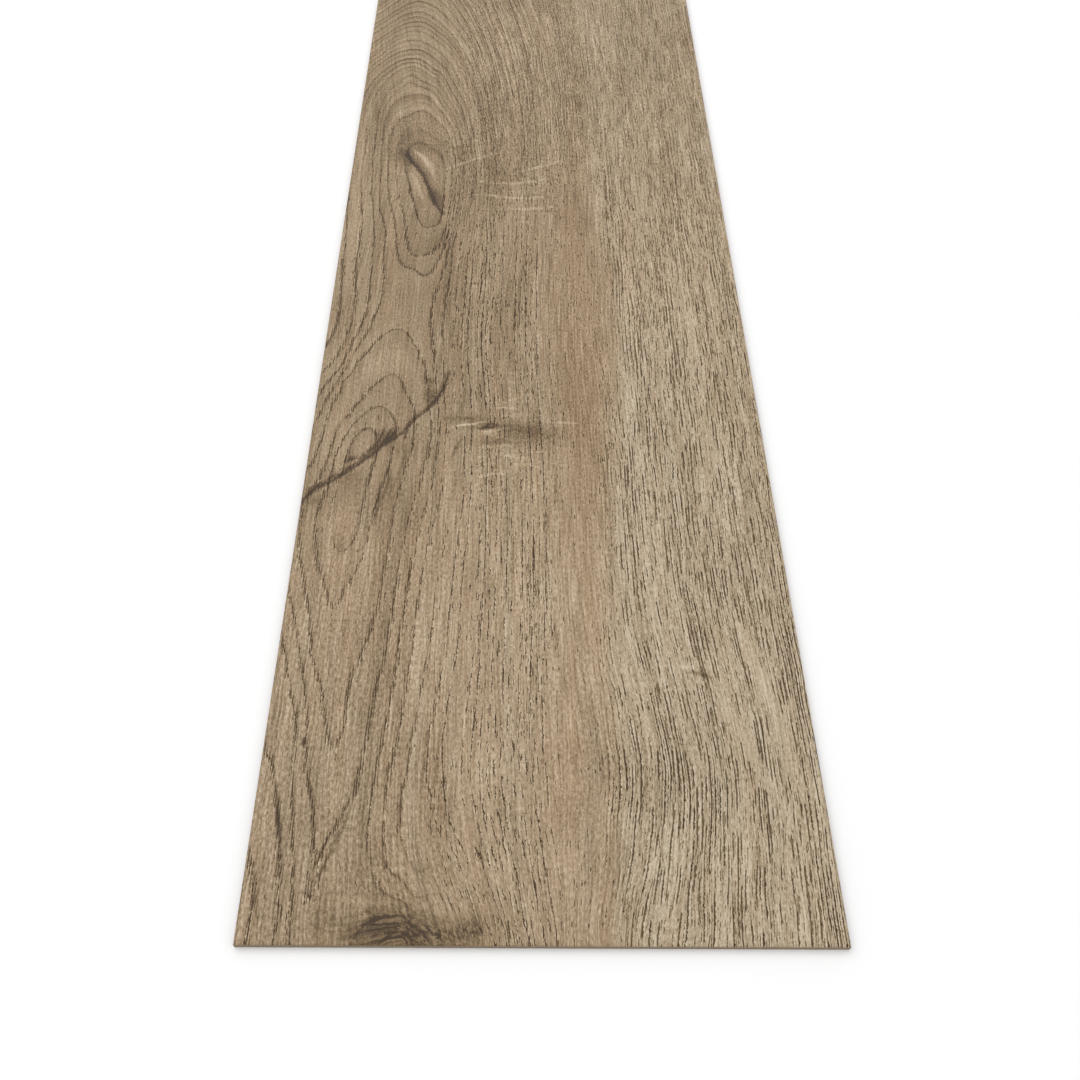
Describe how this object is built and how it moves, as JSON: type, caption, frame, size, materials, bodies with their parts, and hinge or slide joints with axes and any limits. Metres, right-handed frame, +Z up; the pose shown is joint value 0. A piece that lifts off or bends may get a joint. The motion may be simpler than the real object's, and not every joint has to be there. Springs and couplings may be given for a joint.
{
  "type": "vinyl floor plank",
  "caption": "Thin rectangular vinyl floor plank with an embossed oak-grain face, finely bevelled top edges and straight butt edges, bonded flat to a floor beside its neighbours.",
  "frame": {"origin": "centre of the underside, the face that is bonded to the floor", "axes": "+Y along the plank's length, +X across its width, +Z up out of the walking face"},
  "size_m": [0.184, 1.219, 0.0025],
  "materials": {
    "printed_vinyl": "matt oak-grain print under an embossed clear wear layer"
  },
  "bodies": {
    "root": {"plank": "printed_vinyl"}
  },
  "joints": []
}
